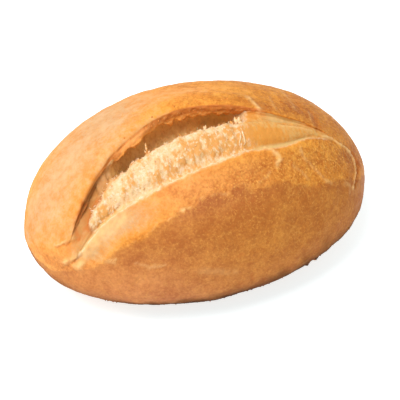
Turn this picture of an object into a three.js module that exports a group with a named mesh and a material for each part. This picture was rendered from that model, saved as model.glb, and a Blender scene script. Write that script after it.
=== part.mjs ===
// A scored bread roll of wheat dough, lying on its flat base. Millimetres, +Z up.
// X runs along the roll, +Y is its far side, and the origin is the middle of the base.
// The score has torn open from tip to tip: the near crust ends in a thin edge, a band of
// crumb rises behind it to a ragged ridge, and the far crust lifts into a lip over a hollow.

import * as THREE from "three";
import { mergeVertices } from "three/addons/utils/BufferGeometryUtils.js";
import { ImprovedNoise } from "three/addons/math/ImprovedNoise.js";

// The loaf itself.
const LENGTH = 120;
const NEAR_HALF_WIDTH = 39.6;
const FAR_HALF_WIDTH = 44.7;
const HEIGHT = 55.5;
const WIDEST_HEIGHT = 16.6; // the level where the sides stand furthest out
const BELOW_TRAY = 1.3; // how deep the round underside would reach, over WIDEST_HEIGHT
const BASE_ROUNDING = 1.6; // softens the edge where the side meets the flat base
const END_ROUNDNESS = 2.03;

// The near side's shoulder, a swelling along the roll.
const SHOULDER = { angle: 141, spread: 13, rise: 1.1 };

// The score. Angles go round the section in degrees: 0 is the far side, 90 the top, 180 the near side.
const SCORE_START = -50.5;
const SCORE_END = 46;
const NEAR_EDGE = { angle: 115.5, slope: -0.195 };
const RIDGE = { angle: 96.5, widening: 0.0053, middle: 10 };
const FAR_LIP = { angle: 83.5, wideningLeft: 0.074, wideningRight: 0.0675, middle: -2.5, bow: 5 };
const LEFT_TURN = { near: 38, far: 42, reach: 8.5 }; // the score runs down the left tip
const RIGHT_TURN = { angle: 6, reach: 3.4 };
const CLOSED_GAP = { angle: 1.6, growth: 0.6 }; // the least between two lines, and its growth past the ends

// The hollow under the far lip, and the lip.
const HOLLOW_DEPTH = 14;
const HOLLOW_FADES = [-46, -32, 5, 16]; // begins, full, still full, gone
const GROOVE_DEPTH = 2.2; // of the score where it isn't hollow
const LIP_THICKNESS = 3.6;
const LIP_RISE = 1.3;
const UNDERCUT = 4.5;

// A crease curls round the right tip, where the score runs out.
const TIP_CREASE = { x: 53, angle: 128, halfSpan: 27, sweep: 14.6, width: 1.6, depth: 1.1 };

// Relief of the surfaces.
const CRUST_LUMPS = { size: 17, height: 0.55 };
const FLAT_BASE_FADE = 9; // the crust's relief dies out from this height down to the base
const CRUMB_CRAGS = { size: 3.6, height: 1.0, fullAt: 22, fadeColumns: 4 }; // full where 22 degrees wide
const RIDGE_TEETH = { size: 5.5, height: 1.6 };

// The mesh: stations along the roll, and columns round it, the first ones across the score.
const STATIONS = 62;
const SCORE_COLUMNS = [3, 2, 2, 1, 3, 3, 3, 2, 3, 2, 3, 3, 2, 2, 1, 2, 3];
const CRUST_COLUMNS = 34;

const noise = new ImprovedNoise();
const radians = THREE.MathUtils.degToRad;
const smoothstep = THREE.MathUtils.smoothstep;

function smoothMax(a, b, width) {
  const overlap = Math.max(width - Math.abs(a - b), 0) / width;
  return Math.max(a, b) + (overlap * overlap * width) / 4;
}

// The unscored loaf's surface at a station x and an angle round the section, as [y, z].
function loafPoint(x, degrees) {
  const along = Math.min(Math.abs(x) / (LENGTH / 2), 1);
  const size = Math.sqrt(Math.max(1 - along ** END_ROUNDNESS, 0));
  const angle = radians(degrees);
  const across = Math.cos(angle);
  const up = Math.sin(angle);
  const halfWidth = across > 0 ? FAR_HALF_WIDTH : NEAR_HALF_WIDTH;
  const reach = up > 0 ? HEIGHT - WIDEST_HEIGHT : WIDEST_HEIGHT * BELOW_TRAY;
  const off = (THREE.MathUtils.euclideanModulo(degrees - SHOULDER.angle + 180, 360) - 180) / SHOULDER.spread;
  const swelling = 1 + (SHOULDER.rise / HEIGHT) * Math.exp(-off * off);
  const y = halfWidth * size * across * swelling;
  const z = WIDEST_HEIGHT + size * reach * up * swelling;
  return [y, smoothMax(z, 0, BASE_ROUNDING)];
}

// Angles of the score's three lines at a station: the near edge, the crumb's ridge and the far lip.
// They keep a least distance, which grows beyond the ends, where the score is closed.
function scoreLines(x) {
  const at = THREE.MathUtils.clamp(x, SCORE_START, SCORE_END);
  const left = Math.exp(-(at - SCORE_START) / LEFT_TURN.reach);
  const right = RIGHT_TURN.angle * Math.exp((at - SCORE_END) / RIGHT_TURN.reach);
  const fromLip = at - FAR_LIP.middle;
  const widening = fromLip < 0 ? FAR_LIP.wideningLeft : FAR_LIP.wideningRight;
  const bowed = Math.hypot(fromLip, FAR_LIP.bow) ** 1.5 - FAR_LIP.bow ** 1.5;
  const near = NEAR_EDGE.angle + NEAR_EDGE.slope * at + LEFT_TURN.near * left + right;
  const ridge = RIDGE.angle + RIDGE.widening * (at - RIDGE.middle) ** 2 + LEFT_TURN.far * left + right;
  const far = FAR_LIP.angle + widening * bowed + LEFT_TURN.far * left + right;
  const least = CLOSED_GAP.angle + CLOSED_GAP.growth * Math.abs(x - at);
  return {
    near: ridge + smoothMax(near - ridge, 1.5 * least, CLOSED_GAP.angle),
    ridge,
    far: ridge - smoothMax(ridge - far, least, CLOSED_GAP.angle),
  };
}

// How open the score, its hollow and its lip are at a station, each from 0 to 1.
function openness(x) {
  const share = THREE.MathUtils.clamp((x - SCORE_START) / (SCORE_END - SCORE_START), 0, 1);
  const [begins, full, stillFull, gone] = HOLLOW_FADES;
  return {
    open: smoothstep(share, 0, 0.1) * smoothstep(1 - share, 0, 0.16),
    hollow: smoothstep(x, begins, full) * (1 - smoothstep(x, stillFull, gone)),
    lip: smoothstep(share, 0, 0.14) * (1 - smoothstep(share, 0.6, 0.85)),
  };
}

// The section across the score, from the near crust to the far crust, as [angle, rise, shift]:
// rise is out of the loaf and shift is towards the far side. The first and last only give slopes.
function scoreSection(x) {
  const { near, ridge, far } = scoreLines(x);
  const { open, hollow, lip } = openness(x);
  const mix = THREE.MathUtils.lerp;
  const depth = open * mix(GROOVE_DEPTH, HOLLOW_DEPTH, hollow);
  const lipDepth = Math.min(LIP_THICKNESS, 0.3 * depth);
  const teeth = RIDGE_TEETH.height * open * noise.noise(x / RIDGE_TEETH.size, 3.7, 0);
  return [
    [near + 20, 0, 0],
    [near + 12, 0, 0],
    [near + 5, 0.5 * open, 0],
    [near + 0.5, 0.3 * open, 0],
    [near - 1.5, -0.9 * open, 0],
    [mix(near, ridge, 0.38), 0.6 * open, 0],
    [mix(near, ridge, 0.72), 1.1 * open, 0],
    [ridge, 0.2 * open + teeth, 0],
    [mix(ridge, far, 0.12), -0.36 * depth, 0.5 * hollow],
    [mix(ridge, far, 0.3), -0.82 * depth, 0.5 * hollow],
    [mix(ridge, far, 0.62), -depth, 1.5 * hollow],
    [mix(ridge, far, 0.88), -0.72 * depth, UNDERCUT * hollow],
    [mix(ridge, far, 0.94), -0.47 * depth, 0.9 * UNDERCUT * hollow],
    [mix(ridge, far, 0.98), -lipDepth, hollow],
    [far, -0.45 * lipDepth, -0.2 * hollow],
    [far - 1.5, 0.7 * LIP_RISE * lip, 0.3 * lip],
    [far - 6, LIP_RISE * lip, 0],
    [far - 14, 0.55 * LIP_RISE * lip, 0],
    [far - 24, 0, 0],
    [far - 32, 0, 0],
  ].map(([degrees, rise, shift]) => {
    const outward = radians((near + far) / 2);
    const [y, z] = loafPoint(x, degrees);
    return new THREE.Vector2(
      y + Math.cos(outward) * rise + Math.sin(outward) * shift,
      z + Math.sin(outward) * rise - Math.cos(outward) * shift,
    );
  });
}

// A smooth curve through the inner points of a section, with a given number of steps between each two.
function smoothThrough(points, steps) {
  const gap = points.slice(1).map((p, i) => p.distanceTo(points[i]) + 1e-9);
  const slopeAt = (i) => {
    const before = points[i].clone().sub(points[i - 1]).multiplyScalar(gap[i] / gap[i - 1]);
    const after = points[i + 1].clone().sub(points[i]).multiplyScalar(gap[i - 1] / gap[i]);
    return before.add(after).divideScalar(gap[i - 1] + gap[i]);
  };
  const curve = [];
  steps.forEach((count, k) => {
    const i = k + 1;
    const start = slopeAt(i).multiplyScalar(gap[i]);
    const finish = slopeAt(i + 1).multiplyScalar(gap[i]);
    for (let step = 0; step < count; step++) {
      const q = step / count;
      curve.push(
        points[i].clone().multiplyScalar(2 * q ** 3 - 3 * q ** 2 + 1)
          .addScaledVector(start, q ** 3 - 2 * q ** 2 + q)
          .addScaledVector(points[i + 1], -2 * q ** 3 + 3 * q ** 2)
          .addScaledVector(finish, q ** 3 - q ** 2),
      );
    }
  });
  return curve;
}

// The closed outline at a station: the score's curve, then the crust round the far side and the base.
function outline(x) {
  const points = smoothThrough(scoreSection(x), SCORE_COLUMNS);
  const { near, far } = scoreLines(x);
  for (let i = 0; i < CRUST_COLUMNS; i++) {
    const degrees = THREE.MathUtils.lerp(far - 24, near + 12 - 360, i / CRUST_COLUMNS);
    points.push(new THREE.Vector2(...loafPoint(x, degrees)));
  }
  return points;
}

// Station x from a share of the half turn from tip to tip, 0 to 1, drawn in a little to the middle.
function stationAt(share) {
  const arc = (share - 0.5) * Math.PI;
  return (LENGTH / 2) * Math.sin(arc - 0.075 * Math.sin(2 * arc));
}

// How deep the crease round the right tip is at a point.
function creaseDepth({ x, y, z }) {
  const degrees = THREE.MathUtils.radToDeg(Math.atan2(z - WIDEST_HEIGHT, y));
  const round = (degrees - TIP_CREASE.angle) / TIP_CREASE.halfSpan;
  if (x < 0 || Math.abs(round) > 1) return 0;
  const off = (x - TIP_CREASE.x + TIP_CREASE.sweep * round ** 2) / TIP_CREASE.width;
  return TIP_CREASE.depth * Math.cos((round * Math.PI) / 2) * Math.exp(-off * off);
}

// The relief along the normal at a point: the crust's lumps, the tip's crease and the crumb's crags.
function relief(point, craggy) {
  const noiseOf = (size) => noise.noise(point.x / size, point.y / size, point.z / size);
  const crust = CRUST_LUMPS.height * noiseOf(CRUST_LUMPS.size) - creaseDepth(point);
  const crumb = CRUMB_CRAGS.height * noiseOf(CRUMB_CRAGS.size) * craggy;
  return smoothstep(point.z, 0, FLAT_BASE_FADE) * crust + crumb;
}

// The roll's skin is a sphere whose rings are laid on the outlines, station by station.
function rollGeometry() {
  const crumbFirst = SCORE_COLUMNS.slice(0, 3).reduce((sum, n) => sum + n, 0);
  const crumbLast = SCORE_COLUMNS.slice(0, 13).reduce((sum, n) => sum + n, 0);
  const columns = SCORE_COLUMNS.reduce((sum, n) => sum + n, CRUST_COLUMNS);
  const geometry = new THREE.SphereGeometry(1, columns, STATIONS);
  geometry.deleteAttribute("normal");
  geometry.deleteAttribute("uv");
  const position = geometry.getAttribute("position");
  const crags = new THREE.BufferAttribute(new Float32Array(position.count), 1);
  for (let ring = 0; ring <= STATIONS; ring++) {
    const x = stationAt(ring / STATIONS);
    const points = outline(x);
    const { near, far } = scoreLines(x);
    const craggy = openness(x).open * Math.min((near - far) / CRUMB_CRAGS.fullAt, 1);
    for (let column = 0; column <= columns; column++) {
      const i = ring * (columns + 1) + column;
      const point = points[column % columns];
      position.setXYZ(i, x, point.x, point.y);
      const inside = Math.min(column - crumbFirst, crumbLast - column) / CRUMB_CRAGS.fadeColumns;
      crags.setX(i, craggy * THREE.MathUtils.clamp(inside, 0, 1));
    }
  }
  geometry.setAttribute("crags", crags);
  const skin = mergeVertices(geometry, 1e-4);
  skin.computeVertexNormals();
  const at = new THREE.Vector3();
  const normal = new THREE.Vector3();
  for (let i = 0; i < skin.attributes.position.count; i++) {
    at.fromBufferAttribute(skin.attributes.position, i);
    normal.fromBufferAttribute(skin.attributes.normal, i);
    at.addScaledVector(normal, relief(at, skin.attributes.crags.getX(i)));
    skin.attributes.position.setXYZ(i, at.x, at.y, at.z);
  }
  skin.deleteAttribute("crags");
  skin.computeVertexNormals();
  skin.computeBoundingBox();
  const middle = skin.boundingBox.getCenter(new THREE.Vector3());
  return skin.translate(-middle.x, -middle.y, -skin.boundingBox.min.z);
}

const crust = new THREE.MeshStandardMaterial({ color: 0xe0a05a, roughness: 0.62, metalness: 0 });
const roll = new THREE.Mesh(rollGeometry(), crust);
roll.name = "roll";

const bread = new THREE.Group();
bread.add(roll);

export default bread;
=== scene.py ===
"""A scored wheat roll, torn open along its score, lying on a plain pale floor.

The roll is one skin: a sphere whose rings are laid on outlines taken across the loaf, dense where
the crust tore and the crumb shows. Shreds of crumb and flakes of crust are small pieces on it.
X runs along the roll, +Y is its far side and +Z is up. Outlines are worked out in millimetres.
"""

import math
import random

import bmesh
import bpy
import numpy as np
from mathutils import Matrix, Vector
from mathutils.bvhtree import BVHTree


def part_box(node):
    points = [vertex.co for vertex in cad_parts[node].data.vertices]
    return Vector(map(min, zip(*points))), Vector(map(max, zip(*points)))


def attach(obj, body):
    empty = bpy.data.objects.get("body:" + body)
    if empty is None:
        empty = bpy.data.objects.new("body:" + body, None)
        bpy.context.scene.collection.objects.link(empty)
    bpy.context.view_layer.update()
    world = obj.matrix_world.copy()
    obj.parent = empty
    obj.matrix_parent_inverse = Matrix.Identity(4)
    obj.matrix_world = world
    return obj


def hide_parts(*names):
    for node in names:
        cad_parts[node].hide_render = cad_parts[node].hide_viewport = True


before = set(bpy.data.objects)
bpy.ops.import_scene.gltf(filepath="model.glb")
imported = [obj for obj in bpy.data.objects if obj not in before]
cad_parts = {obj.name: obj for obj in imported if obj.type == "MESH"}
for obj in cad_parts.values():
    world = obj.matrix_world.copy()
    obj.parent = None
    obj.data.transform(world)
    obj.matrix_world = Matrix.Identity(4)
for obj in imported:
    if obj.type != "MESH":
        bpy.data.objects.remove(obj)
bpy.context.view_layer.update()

bl_info = {
    "name": "Scored Bread Roll",
    "version": (1, 0, 0),
    "blender": (4, 5, 0),
    "location": "View3D > Sidebar > Bread Roll",
    "description": "Bakes a scored wheat roll with a torn crumb ridge and a lifted crust lip",
    "category": "Add Mesh",
}

MM = 0.001
ROLL_LOW, ROLL_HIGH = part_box("roll")

# The mesh: stations along the roll, and columns round it, the first ones across the score.
STATIONS = 344
SCORE_COLUMNS = (10, 7, 6, 10, 10, 9, 8, 7, 6, 7, 4, 6, 5, 5, 5, 4, 4, 8, 9)
CRUST_COLUMNS = 150
CRUST_SHARES = (0.0, 0.27, 0.38, 1.0)  # of those columns: the far side, the base, the near side
CRUST_ARCS = (0.0, 0.29, 0.75, 1.0)  # and where along the crust's arc each of them ends

# Where along the score's control points each zone of the torn skin lies.
NEAR_EDGE = 2.0
WEDGE = 3.0
RIDGE = 6.0
RIM_FOOT = 12.0
CREASE = 14.0
FAR_EDGE = 15.0
FAR_CRUST = 19.0


# ---------------------------------------------------------------------------- the loaf's form


def smoothstep(value, low, high):
    """0 below low, 1 above high, and smooth between, on numbers or arrays."""
    share = np.clip((value - low) / (high - low), 0.0, 1.0)
    return share * share * (3.0 - 2.0 * share)


def smooth_max(a, b, width):
    """The larger of a and b, rounded where they are within width of each other."""
    overlap = np.clip(width - np.abs(a - b), 0.0, None) / width
    return np.maximum(a, b) + overlap * overlap * width / 4.0


def window(value, low, high, fade):
    """1 between low and high, fading to 0 over fade outside them."""
    return smoothstep(value, low - fade, low) * (1.0 - smoothstep(value, high, high + fade))


def mix(a, b, share):
    """The point that lies a share of the way from a to b."""
    return a + (b - a) * share


def gaussian(value, middle, spread):
    """A bell of height 1."""
    return np.exp(-((value - middle) / spread) ** 2)


def turned_back(degrees):
    """The same angles between -180 and 180."""
    return (degrees + 180.0) % 360.0 - 180.0


def lattice_noise(points, size, seed):
    """Smooth noise, about -1 to 1, whose features are size millimetres across."""
    slopes = np.random.default_rng(seed).normal(size=(4096, 3))
    slopes /= np.linalg.norm(slopes, axis=1)[:, None]
    cell = np.floor(points / size).astype(np.int64)
    inside = points / size - cell
    ease = inside ** 3 * (inside * (inside * 6 - 15) + 10)
    total = 0.0
    for corner in np.ndindex(2, 2, 2):
        key = ((cell + corner) * (73856093, 19349663, 83492791)).sum(-1) % 4096
        weight = np.prod(np.where(corner, ease, 1 - ease), axis=-1)
        total = total + weight * ((inside - corner) * slopes[key]).sum(-1)
    return 1.6 * total


def layered_noise(points, size, octaves, seed):
    """Noise with finer and weaker noise laid over it, about -1 to 1."""
    return sum(lattice_noise(points, size / 2 ** k, seed + k) / 2 ** k for k in range(octaves))


def noise_along(x, size, seed):
    """Layered noise along the roll's length."""
    return layered_noise(np.stack([x, 0 * x, 0 * x], axis=-1), size, 2, seed)


class Loaf:
    """The roll's form in millimetres, from the sizes that the panel shows."""

    def __init__(self, sizes):
        for name in sizes.__annotations__:
            setattr(self, name, getattr(sizes, name) / MM)

    def size(self, x):
        """How large the section at stations x is, from 0 at the tips to 1."""
        along = np.clip(np.abs(x) / (self.length / 2), 0.0, 1.0)
        return np.sqrt(np.clip(1.0 - along ** END_ROUNDNESS, 0.0, None))

    def point(self, x, degrees):
        """The unscored loaf's surface at stations x and angles round the section, as y and z."""
        size = self.size(x)
        across = np.cos(np.radians(degrees))
        up = np.sin(np.radians(degrees))
        half_width = np.where(across > 0, self.far_half_width, self.near_half_width)
        reach = np.where(up > 0, self.height - self.widest_height, self.widest_height * BELOW_TRAY)
        off = turned_back(degrees - SHOULDER_ANGLE)
        swelling = 1.0 + (SHOULDER_RISE / self.height) * gaussian(off, 0.0, SHOULDER_SPREAD)
        y = half_width * size * across * swelling
        z = self.widest_height + size * reach * up * swelling
        return y, smooth_max(z, 0.0, BASE_ROUNDING)

    def degrees(self, y, z):
        """The angle round the section at which points of it lie, from 0 to 360."""
        above, below = self.height - self.widest_height, self.widest_height * BELOW_TRAY
        reach = np.where(z > self.widest_height, above, below)
        half_width = np.where(y > 0, self.far_half_width, self.near_half_width)
        return np.degrees(np.arctan2((z - self.widest_height) / reach, y / half_width)) % 360

    def lines(self, x):
        """Angles of the score's near edge, crumb ridge and far lip at stations x."""
        at = np.clip(x, self.score_start, self.score_end)
        left = np.exp(-(at - self.score_start) / 8.5)
        right = 6.0 * np.exp((at - self.score_end) / 3.4)
        from_lip = at + 2.5
        widening = np.where(from_lip < 0, 0.074, 0.0675)
        bowed = np.hypot(from_lip, LIP_BOW) ** 1.5 - LIP_BOW ** 1.5
        near = 115.5 - 0.195 * at + 38.0 * left + right
        ridge = 96.5 + 0.0053 * (at - 10.0) ** 2 + 42.0 * left + right
        far = 81.0 + widening * bowed + 42.0 * left + right
        near = near + 0.7 * noise_along(x, 7.0, 11) + 3.0 * gaussian(x, 25.0, 7.0) + gaussian(x, -20.0, 16.0)
        near = near + 0.4 * noise_along(x, 1.9, 17)
        ridge = ridge + 0.6 * noise_along(x, 5.0, 12)
        far = far + 0.5 * noise_along(x, 9.0, 13)
        least = CLOSED_GAP + CLOSED_GAP_GROWTH * np.abs(x - at)
        near = ridge + smooth_max(near - ridge, 1.5 * least, CLOSED_GAP)
        far = ridge - smooth_max(ridge - far, least, CLOSED_GAP)
        return near, ridge, far

    def openness(self, x):
        """How open the score, its hollow and its lip are at stations x, each from 0 to 1."""
        share = (x - self.score_start) / (self.score_end - self.score_start)
        opened = smoothstep(share, 0.0, 0.1) * smoothstep(1.0 - share, 0.0, 0.16)
        hollow = smoothstep(x, -34.0, -27.0) * (1.0 - smoothstep(x, 12.0, 18.0))
        lip = smoothstep(share, 0.0, 0.12) * (1.0 - smoothstep(x, 16.0, 27.0))
        return opened, hollow, lip

    def section(self, x):
        """Control points of the skin across the score at stations x, from near to far crust."""
        near, ridge, far = self.lines(x)
        opened, hollow, lip = self.openness(x)
        groove_depth = self.groove_depth * (1.0 - 0.4 * smoothstep(x, 16.0, 24.0))
        depth = opened * mix(groove_depth, self.hollow_depth, hollow)
        behind_edge = mix(0.7, 0.5, smoothstep(x, -36.0, -27.0)) + 0.3 * smoothstep(x, 12.0, 20.0)
        under = hollow * smoothstep(x, -31.0, -25.0)
        under_depth = opened * mix(self.groove_depth, self.hollow_depth, under)
        bevel = lip * gaussian(x, -23.0, 7.0)
        lip_depth = np.minimum(self.lip_thickness, 0.55 * depth) * (1.0 - 0.45 * bevel)
        teeth = opened * (0.5 * noise_along(x, 5.0, 14) + 0.25 * noise_along(x, 1.2, 15))
        ragged = hollow * noise_along(x, 3.3, 16) * np.clip(0.5 + noise_along(x, 8.0, 18), 0.1, 1.2)
        none = 0.0 * x
        rise = self.lip_rise * lip
        rows = (
            (near + 20, none, none),
            (near + 12, none, none),
            (near + 5, 0.45 * opened, none),
            (near + 0.4, 0.35 * opened, none),
            (near - 1.3, -behind_edge * opened, none),
            (mix(near, ridge, 0.38), 0.5 * opened, none),
            (mix(near, ridge, 0.72), 1.0 * opened, none),
            (ridge, 0.2 * opened + teeth, none),
            (mix(ridge, far, 0.12), -0.36 * depth, 0.5 * hollow),
            (mix(ridge, far, 0.3), -0.82 * depth, 0.5 * hollow),
            (mix(ridge, far, 0.62), -0.5 * depth - 0.5 * under_depth, 1.5 * under),
            (mix(ridge, far, 0.88), -0.72 * under_depth, self.undercut * under),
            (mix(ridge, far, 0.93), -0.47 * under_depth, 0.9 * self.undercut * under),
            (mix(ridge, far, 0.965 - 0.13 * bevel), -lip_depth - 0.3 * ragged, -0.35 * hollow - 0.1 * ragged),
            (mix(ridge, far, 0.985 - 0.06 * bevel), -0.5 * lip_depth, -0.3 * lip),
            (far, -0.10 * lip_depth, 0.15 * lip),
            (far - 1.4, 0.4 * rise, none),
            (far - 3.5, 0.85 * rise, none),
            (far - 7, rise, none),
            (far - 14, 0.55 * rise, none),
            (far - 24, none, none),
            (far - 32, none, none),
        )
        outward = np.radians((near + far) / 2)
        points = []
        for degrees, out, shift in rows:
            y, z = self.point(x, degrees)
            y = y + np.cos(outward) * out + np.sin(outward) * shift
            z = z + np.sin(outward) * out - np.cos(outward) * shift
            points.append(np.stack([y, z], axis=-1))
        return np.stack(points, axis=1)

    def station(self, share):
        """Stations x from shares of the half turn from tip to tip, drawn in a little to the middle."""
        arc = (share - 0.5) * math.pi
        return self.length / 2 * np.sin(arc - STATIONS_DRAWN_IN * np.sin(2 * arc))


# The loaf's finer proportions, as in its solid.
END_ROUNDNESS = 2.03
BELOW_TRAY = 1.3
BASE_ROUNDING = 1.6
SHOULDER_ANGLE = 141.0
SHOULDER_SPREAD = 13.0
SHOULDER_RISE = 1.1
LIP_BOW = 5.0
CLOSED_GAP = 1.6
CLOSED_GAP_GROWTH = 0.6
STATIONS_DRAWN_IN = 0.075


def smooth_through(points, steps):
    """A smooth curve through the inner control points, with a number of steps between each two."""
    gap = np.linalg.norm(np.diff(points, axis=1), axis=2)[:, :, None] + 1e-9
    before = (points[:, 1:-1] - points[:, :-2]) / gap[:, :-1] * gap[:, 1:]
    after = (points[:, 2:] - points[:, 1:-1]) / gap[:, 1:] * gap[:, :-1]
    slope = (before + after) / (gap[:, :-1] + gap[:, 1:])
    curve = []
    for k, count in enumerate(steps):
        q = (np.arange(count) / count)[None, :, None]
        start, finish = points[:, k + 1][:, None], points[:, k + 2][:, None]
        length = gap[:, k + 1][:, None]
        leave, arrive = slope[:, k][:, None] * length, slope[:, k + 1][:, None] * length
        curve.append(
            (2 * q ** 3 - 3 * q ** 2 + 1) * start + (q ** 3 - 2 * q ** 2 + q) * leave
            + (3 * q ** 2 - 2 * q ** 3) * finish + (q ** 3 - q ** 2) * arrive
        )
    return np.concatenate(curve, axis=1)


class Skin:
    """The roll's outlines as a grid of points, with the zone and the angle of each point."""

    def __init__(self, loaf):
        self.x = loaf.station(np.arange(STATIONS + 1) / STATIONS)
        self.near, self.ridge, self.far = loaf.lines(self.x)
        self.opened, self.hollow, self.lip = loaf.openness(self.x)
        score = smooth_through(loaf.section(self.x), SCORE_COLUMNS)
        share = np.interp(np.arange(CRUST_COLUMNS) / CRUST_COLUMNS, CRUST_SHARES, CRUST_ARCS)
        degrees = mix((self.far - 24)[:, None], (self.near + 12 - 360)[:, None], share[None, :])
        crust = np.stack(loaf.point(self.x[:, None] + 0 * degrees, degrees), axis=-1)
        outline = np.concatenate([score, crust], axis=1)
        along = np.repeat(self.x[:, None, None], outline.shape[1], axis=1)
        self.points = np.concatenate([along, outline], axis=2)
        in_score = np.concatenate([k + np.arange(n) / n for k, n in enumerate(SCORE_COLUMNS)])
        self.zone = np.concatenate([in_score, np.full(CRUST_COLUMNS, FAR_CRUST + 1)])
        self.degrees = loaf.degrees(self.points[:, :, 1], self.points[:, :, 2])
        self.radius = loaf.near_half_width * loaf.size(self.x)
        self.arc = np.concatenate([[0.0], np.cumsum(np.hypot(np.diff(self.x), np.diff(self.radius)))])
        self.stray = [layered_noise(self.points, 2.0, 2, seed) for seed in (21, 24)]
        self.patchy = np.clip(0.75 + 0.6 * layered_noise(self.points, 1.5, 2, 27), 0.0, 1.0)

    @property
    def columns(self):
        return self.points.shape[1]

    def normals(self):
        """The direction that each point faces."""
        along = np.gradient(self.points, axis=0)
        round_about = np.roll(self.points, -1, axis=1) - np.roll(self.points, 1, axis=1)
        across = np.cross(along, round_about)
        across[0], across[-1] = (-1.0, 0.0, 0.0), (1.0, 0.0, 0.0)
        return across / (np.linalg.norm(across, axis=2)[:, :, None] + 1e-12)

    def distance(self, line):
        """How far each point is, in millimetres over the skin, from a line through (x, degrees)."""
        scale = np.radians(self.radius)[:, None]
        places = [(np.interp(x, self.x, self.arc), degrees) for x, degrees in line]
        arc = self.arc[:, None] + 0.6 * self.stray[0]
        nearest = np.full(self.degrees.shape, 99.0)
        for (arc_a, degrees_a), (arc_b, degrees_b) in zip(places, places[1:]):
            off_arc, off_turn = arc - arc_a, (self.degrees - degrees_a) * scale + 0.6 * self.stray[1]
            arc_span, turn_span = arc_b - arc_a, (degrees_b - degrees_a) * scale
            share = (off_arc * arc_span + off_turn * turn_span) / (arc_span ** 2 + turn_span ** 2 + 1e-9)
            share = np.clip(share, 0.0, 1.0)
            away = np.hypot(off_arc - share * arc_span, off_turn - share * turn_span)
            nearest = np.minimum(nearest, away)
        return nearest


# ---------------------------------------------------------------------------- shader expressions


class Wire:
    """A shader socket that takes part in Python sums; each sum adds its Math node."""

    def __init__(self, shader, socket):
        self.shader = shader
        self.socket = socket

    def _math(self, operation, *values):
        return self.shader.node("ShaderNodeMath", {"operation": operation}, *values)

    def __add__(self, other):
        return self._math("ADD", self, other)

    __radd__ = __add__

    def __sub__(self, other):
        return self._math("SUBTRACT", self, other)

    def __rsub__(self, other):
        return self._math("SUBTRACT", other, self)

    def __mul__(self, other):
        return self._math("MULTIPLY", self, other)

    __rmul__ = __mul__

    def clamped(self):
        """This value held between 0 and 1."""
        return self._math("MINIMUM", self._math("MAXIMUM", self, 0.0), 1.0)

    def step(self, low, high):
        """0 below low, 1 above high, smooth between."""
        settings = {"interpolation_type": "SMOOTHSTEP"}
        named = {"Value": self, "From Min": low, "From Max": high}
        return self.shader.node("ShaderNodeMapRange", settings, **named)


class Shader:
    """A material's node tree, with one method that adds any node."""

    def __init__(self, name):
        self.material = bpy.data.materials.new(name)
        self.material.use_nodes = True
        self.tree = self.material.node_tree
        self.tree.nodes.clear()
        self.object_coordinates = self.node("ShaderNodeTexCoord", {}, output="Object")

    def node(self, kind, settings, *values, output=0, **named):
        """Adds a node, sets its settings and then its sockets, and returns the wanted output."""
        node = self.tree.nodes.new(kind)
        for setting, value in settings.items():
            setattr(node, setting, value)
        sockets = [s for s in node.inputs if s.enabled]
        pairs = list(zip(sockets, values))
        pairs += [(next(s for s in sockets if s.name == name), value) for name, value in named.items()]
        for socket, value in pairs:
            if isinstance(value, Wire):
                self.tree.links.new(value.socket, socket)
            else:
                socket.default_value = value
        outputs = [s for s in node.outputs if s.enabled]
        if isinstance(output, str):
            return Wire(self, next(s for s in outputs if s.name == output))
        return Wire(self, outputs[output]) if outputs else None

    def attribute(self, name):
        """A number that the mesh carries at its points."""
        settings = {"attribute_type": "GEOMETRY", "attribute_name": name}
        return self.node("ShaderNodeAttribute", settings, output="Fac")

    def stretched(self, scale):
        """Object coordinates scaled by a vector."""
        return self.node("ShaderNodeVectorMath", {"operation": "MULTIPLY"}, self.object_coordinates, scale)

    def noise(self, size, detail=2.0, roughness=0.5, at=None):
        """Noise whose features are about size metres across, from 0 to 1."""
        named = {"Vector": at or self.object_coordinates, "Scale": 1.0 / size, "Detail": detail,
                 "Roughness": roughness}
        return self.node("ShaderNodeTexNoise", {}, output="Fac", **named)

    def wandering(self, size, reach):
        """Object coordinates that noise of a size shifts by up to about half its reach."""
        named = {"Vector": self.object_coordinates, "Scale": 1.0 / size, "Detail": 2.0}
        shift = self.node("ShaderNodeTexNoise", {}, output="Color", **named)
        shift = self.node("ShaderNodeVectorMath", {"operation": "SCALE"}, shift, Scale=reach)
        return self.node("ShaderNodeVectorMath", {"operation": "ADD"}, shift, self.object_coordinates)

    def cracks(self, size, wander_size, wander, width):
        """1 on wandering lines round cells about size metres across, and 0 a width away from them."""
        named = {"Vector": self.wandering(wander_size, wander), "Scale": 1.0 / size}
        away = self.node("ShaderNodeTexVoronoi", {"feature": "DISTANCE_TO_EDGE"}, output="Distance", **named)
        return 1.0 - away.step(0.0, width)

    def blend(self, share, a, b, mode="MIX"):
        """Colour a where share is 0 and colour b where it is 1."""
        settings = {"data_type": "RGBA", "blend_type": mode, "clamp_factor": True}
        named = {"Factor": share, "A": a, "B": b}
        return self.node("ShaderNodeMix", settings, output="Result", **named)

    def bump(self, height, distance, strength):
        """A normal from a height, where a height of 1 stands distance metres proud."""
        return self.node("ShaderNodeBump", {}, Strength=strength, Distance=distance, Height=height)

    def finish(self, constants, **linked):
        """Adds the surface shader and the output, and returns the material."""
        surface = self.node("ShaderNodeBsdfPrincipled", {}, **constants, **linked)
        self.node("ShaderNodeOutputMaterial", {}, Surface=surface)
        return self.material


def colour(value):
    """A panel colour as a socket takes it."""
    return (*value, 1.0)


# ---------------------------------------------------------------------------- the roll's skin


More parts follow.
